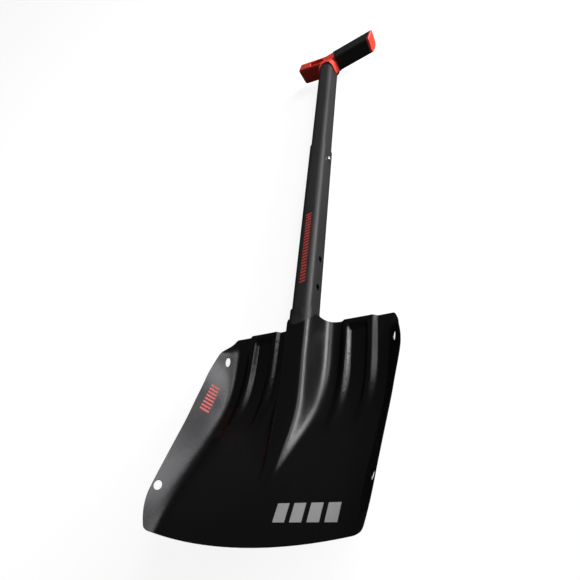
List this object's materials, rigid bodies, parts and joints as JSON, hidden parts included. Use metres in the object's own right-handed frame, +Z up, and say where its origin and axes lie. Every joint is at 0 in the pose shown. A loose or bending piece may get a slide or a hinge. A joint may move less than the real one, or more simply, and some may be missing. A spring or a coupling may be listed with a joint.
{
  "type": "avalanche shovel",
  "caption": "Black telescopic snow shovel: pressed, ribbed blade with upturned side wings, oval two-part shaft with spring-button locks, and a red and black T-grip.",
  "frame": {"origin": "middle of the footprint of the extended shovel lying on its back, on the floor", "axes": "+X to the right of the blade as seen from its front, +Y from the tip towards the grip, +Z up, out of the blade's front face"},
  "size_m": [0.254, 0.8534, 0.1025],
  "materials": {
    "black_blade_coat": "satin black coat over pressed aluminium",
    "black_tube_finish": "satin black anodised aluminium",
    "weld_metal": "weld beads under the same black coat",
    "bright_steel": "plain stainless steel, lightly brushed",
    "spring_steel": "bent spring strip",
    "red_grip_plastic": "moulded red nylon, fine grain",
    "black_grip_rubber": "soft black overmould",
    "black_plastic": "moulded black nylon"
  },
  "bodies": {
    "blade_unit": {"blade": "black_blade_coat", "socket_ferrule": "black_tube_finish", "socket_back_plate": "black_blade_coat", "socket_weld_beads": "weld_metal", "plate_weld_beads": "weld_metal"},
    "lower_shaft": {"lower_tube": "black_tube_finish", "blade_lock_spring": "spring_steel"},
    "socket_button": {"blade_lock_button": "bright_steel"},
    "upper_shaft": {"upper_tube": "black_tube_finish", "extension_lock_spring": "spring_steel", "slide_bushing": "black_plastic", "grip_core": "red_grip_plastic", "grip_sleeve": "black_grip_rubber", "sleeve_end_cap": "red_grip_plastic", "grip_pin": "black_tube_finish"},
    "extension_button": {"extension_lock_button": "bright_steel"}
  },
  "joints": [
    {"name": "shaft_release", "type": "slide", "parent": "blade_unit", "child": "lower_shaft", "axis": [0, 1, 0], "range_m": [0, 0.1], "deforming": ["blade_lock_button", "blade_lock_spring"]},
    {"name": "socket_button_press", "type": "slide", "parent": "lower_shaft", "child": "socket_button", "axis": [0, 0, 1], "range_m": [0, 0.0045], "stiffness_N_per_m": 1500, "springref_m": -0.002},
    {"name": "extension_slide", "type": "slide", "parent": "lower_shaft", "child": "upper_shaft", "axis": [0, -1, 0], "range_m": [0, 0.199], "deforming": ["extension_lock_button", "extension_lock_spring"]},
    {"name": "extension_button_press", "type": "slide", "parent": "upper_shaft", "child": "extension_button", "axis": [-1, 0, 0], "range_m": [0, 0.0045], "stiffness_N_per_m": 1500, "springref_m": -0.002}
  ]
}
